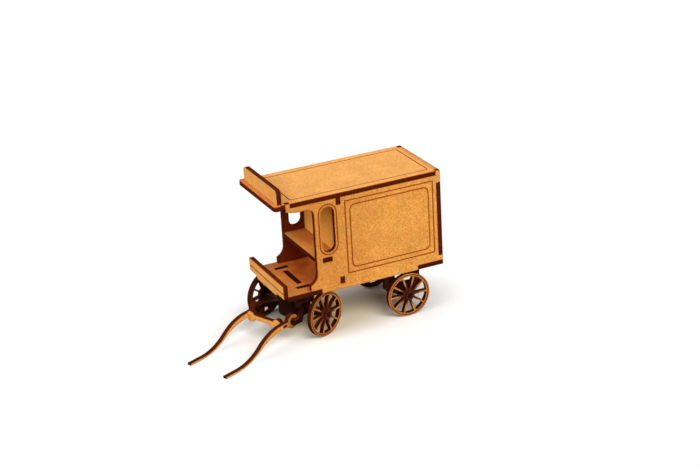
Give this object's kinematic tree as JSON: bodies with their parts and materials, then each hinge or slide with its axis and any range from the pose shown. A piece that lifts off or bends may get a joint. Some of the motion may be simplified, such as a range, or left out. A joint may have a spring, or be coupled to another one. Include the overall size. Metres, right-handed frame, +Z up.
{
  "type": "model delivery wagon",
  "caption": "Small board-cut model of a horse-drawn delivery wagon: closed box body, open driver's seat, steering fore-carriage, thin-spoked wheels and hinged curved shafts.",
  "frame": {"origin": "on the ground under the middle of the rear axle", "axes": "+X forward along the body, +Y to its left, +Z up"},
  "size_m": [0.1151, 0.052, 0.0686],
  "materials": {
    "board": "laser-cut fibreboard, tan faces and charred edges",
    "dowel": "plain round dowel"
  },
  "bodies": {
    "body": {"floor": "board", "side_left": "board", "side_right": "board", "rear_wall": "board", "bulkhead": "board", "seat": "board", "roof": "board", "header_board": "board", "dash": "board", "front_plate_left": "board", "front_plate_right": "board", "front_cross": "board", "turntable_fixed": "board", "kingpin": "dowel", "rear_spring_left": "board", "rear_spring_right": "board", "rear_axle": "board", "cap_rear_left": "board", "cap_rear_right": "board"},
    "fore_carriage": {"front_axle": "board", "turntable_upper": "board", "turntable_lower": "board", "cap_front_left": "board", "cap_front_right": "board"},
    "shafts": {"shaft_left": "board", "shaft_right": "board", "shaft_tie": "board"},
    "front_left_wheel": {"wheel_front_left": "board"},
    "front_right_wheel": {"wheel_front_right": "board"},
    "rear_left_wheel": {"wheel_rear_left": "board"},
    "rear_right_wheel": {"wheel_rear_right": "board"}
  },
  "joints": [
    {"name": "steer", "type": "hinge", "parent": "body", "child": "fore_carriage", "pos_m": [0.0451, 0, 0.0097], "axis": [0, 0, 1], "range_deg": [-63.5, 16.5]},
    {"name": "shaft_lift", "type": "hinge", "parent": "fore_carriage", "child": "shafts", "pos_m": [0.05702, 0.00518, 0.0097], "axis": [0.3987, -0.9171, 0], "range_deg": [0, 50]},
    {"name": "front_left_roll", "type": "hinge", "parent": "fore_carriage", "child": "front_left_wheel", "pos_m": [0.03824, 0.01577, 0.0097], "axis": [-0.3987, 0.9171, 0], "continuous": true},
    {"name": "front_right_roll", "type": "hinge", "parent": "fore_carriage", "child": "front_right_wheel", "pos_m": [0.05196, -0.01577, 0.0097], "axis": [-0.3987, 0.9171, 0], "continuous": true},
    {"name": "rear_left_roll", "type": "hinge", "parent": "body", "child": "rear_left_wheel", "pos_m": [0, 0.0172, 0.0097], "axis": [0, 1, 0], "continuous": true},
    {"name": "rear_right_roll", "type": "hinge", "parent": "body", "child": "rear_right_wheel", "pos_m": [0, -0.0172, 0.0097], "axis": [0, 1, 0], "continuous": true}
  ]
}
